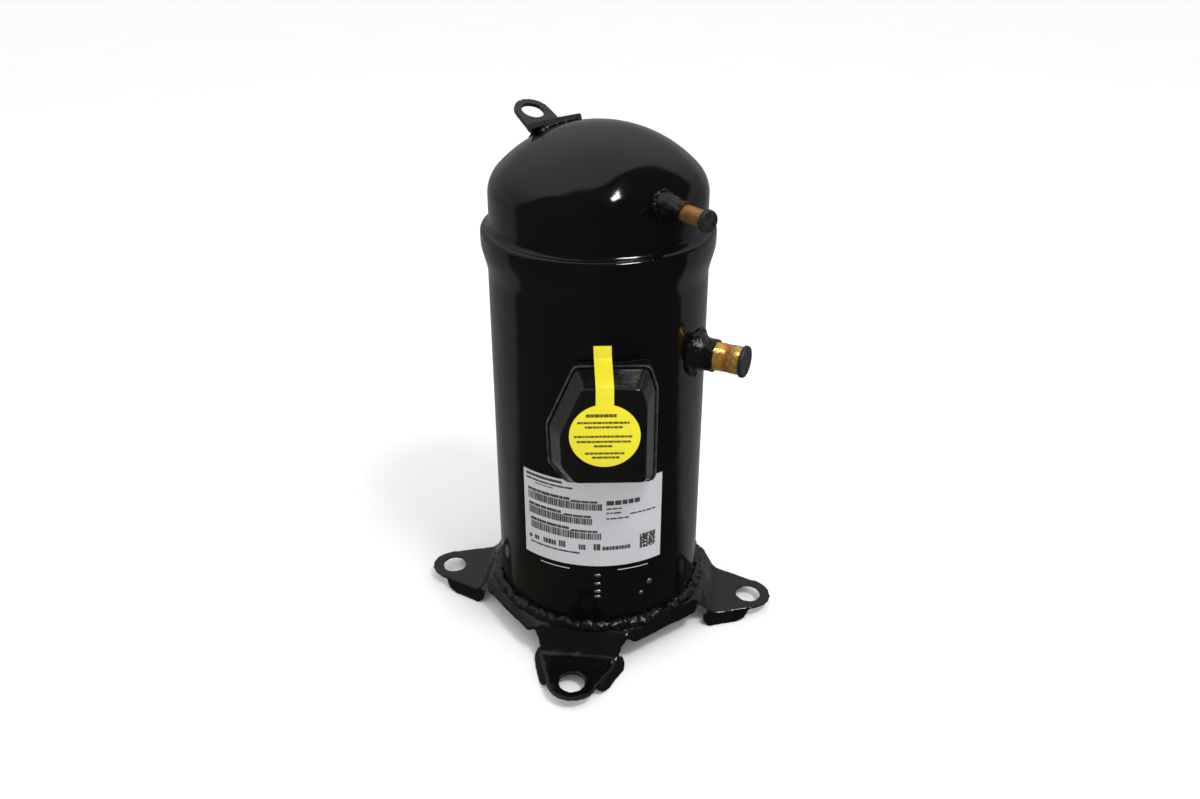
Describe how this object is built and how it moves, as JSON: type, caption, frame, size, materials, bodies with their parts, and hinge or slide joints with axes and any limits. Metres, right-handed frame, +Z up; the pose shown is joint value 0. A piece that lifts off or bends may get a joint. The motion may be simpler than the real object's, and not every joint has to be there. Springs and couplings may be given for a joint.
{
  "type": "scroll compressor",
  "caption": "Upright hermetic scroll compressor: black welded shell on a stamped plate, with copper suction and discharge stubs and a terminal box.",
  "frame": {"origin": "on the shell's axis at floor level, under the centre of the square of mounting holes", "axes": "+Z up along the shell and shaft axis; the four feet point along +X, +Y, -X and -Y; the terminal box faces just right of the -Y foot"},
  "size_m": [0.31, 0.31, 0.4322],
  "materials": {
    "black_paint": "gloss black paint over steel, with weld texture at the joints",
    "black_plastic": "satin black moulded plastic",
    "black_rubber": "matt black rubber",
    "brassy_copper": "golden plated copper tube with faint drawing lines",
    "copper": "bare copper, lightly oxidised",
    "silver_label": null,
    "yellow_tag": null,
    "cast_iron": "grey iron, machined on the working faces",
    "machined_steel": "machined steel",
    "aluminium": "cast aluminium",
    "lamination_steel": "stacked electrical steel sheets",
    "enamelled_copper": "enamelled copper wire",
    "brass": "bronze bushing or brass plunger",
    "white_plastic": "off-white lead insulation"
  },
  "bodies": {
    "shell": {"mounting_plate": "black_paint", "bottom_cap": "black_paint", "sump_magnet": "cast_iron", "centre_shell": "black_paint", "top_cap": "black_paint", "muffler_plate": "machined_steel", "lifting_ear": "black_paint", "suction_fitting": "black_paint", "suction_tube": "brassy_copper", "discharge_fitting": "black_paint", "discharge_tube": "copper", "terminal_fence": "black_paint", "rating_label": "silver_label", "hermetic_terminal": "machined_steel", "terminal_pin_1": "copper", "terminal_pin_2": "copper", "terminal_pin_3": "copper", "ground_screw": "machined_steel", "motor_lead_1": "white_plastic", "motor_lead_2": "white_plastic", "motor_lead_3": "white_plastic", "stator_core": "lamination_steel", "upper_winding": "enamelled_copper", "lower_winding": "enamelled_copper", "winding_protector": "machined_steel", "main_bearing_housing": "cast_iron", "main_bushing": "brass", "lower_bearing_housing": "cast_iron", "lower_bushing": "brass", "fixed_scroll": "cast_iron", "scroll_bolt_1": "machined_steel", "scroll_bolt_2": "machined_steel", "scroll_bolt_3": "machined_steel", "scroll_bolt_4": "machined_steel", "check_valve_retainer": "machined_steel", "relief_valve_body": "machined_steel", "suction_baffle": "machined_steel"},
    "shaft": {"crankshaft": "machined_steel", "rotor_core": "lamination_steel", "lower_end_ring": "aluminium", "upper_end_ring": "aluminium", "upper_counterweight": "cast_iron", "lower_counterweight": "cast_iron", "oil_pickup": "machined_steel", "drive_bushing": "machined_steel"},
    "orbiting": {"orbiting_scroll": "cast_iron", "orbiting_bushing": "brass"},
    "washer": {"thrust_washer": "machined_steel"},
    "oldham": {"oldham_ring": "aluminium"},
    "seal": {"floating_seal": "cast_iron"},
    "check_disc": {"check_valve_disc": "machined_steel"},
    "relief": {"relief_plunger": "brass"},
    "cover": {"terminal_cover": "black_plastic", "seal_tag": "yellow_tag"},
    "plug": {"terminal_plug": "black_plastic"},
    "suction_cap": {"suction_plug": "black_rubber"},
    "discharge_cap": {"discharge_plug": "black_rubber"}
  },
  "joints": [
    {"name": "shaft_spin", "type": "hinge", "parent": "shell", "child": "shaft", "pos_m": [0, 0, 0.15], "axis": [0, 0, 1], "continuous": true},
    {"name": "scroll_orbit", "type": "hinge", "parent": "shaft", "child": "orbiting", "pos_m": [0.0046, 0, 0.26], "axis": [0, 0, 1], "continuous": true},
    {"name": "washer_drift", "type": "hinge", "parent": "shaft", "child": "washer", "pos_m": [0.0023, 0, 0.267], "axis": [0, 0, 1], "continuous": true},
    {"name": "oldham_slide", "type": "hinge", "parent": "washer", "child": "oldham", "pos_m": [0.0046, 0, 0.26], "axis": [0, 0, 1], "continuous": true},
    {"name": "seal_lift", "type": "slide", "parent": "shell", "child": "seal", "axis": [0, 0, 1], "range_m": [0, 0.0009]},
    {"name": "check_lift", "type": "slide", "parent": "shell", "child": "check_disc", "axis": [0, 0, 1], "range_m": [0, 0.0025]},
    {"name": "relief_open", "type": "slide", "parent": "shell", "child": "relief", "axis": [0, 0, -1], "range_m": [0, 0.002]},
    {"name": "cover_pull", "type": "slide", "parent": "shell", "child": "cover", "axis": [0.1805, -0.9836, 0], "range_m": [0, 0.06]},
    {"name": "terminal_plug_pull", "type": "slide", "parent": "shell", "child": "plug", "axis": [0.1805, -0.9836, 0], "range_m": [0, 0.015]},
    {"name": "suction_plug_pull", "type": "slide", "parent": "shell", "child": "suction_cap", "axis": [0.9511, -0.309, 0], "range_m": [0, 0.04]},
    {"name": "discharge_plug_pull", "type": "slide", "parent": "shell", "child": "discharge_cap", "axis": [0.7325, -0.6807, 0], "range_m": [0, 0.03]}
  ],
  "couplings": [
    {"joint": "scroll_orbit", "follows": "shaft_spin", "ratio": -1},
    {"joint": "washer_drift", "follows": "shaft_spin", "ratio": -2},
    {"joint": "oldham_slide", "follows": "shaft_spin", "ratio": 1},
    {"joint": "terminal_plug_pull", "follows": "cover_pull", "ratio": 0.25}
  ]
}
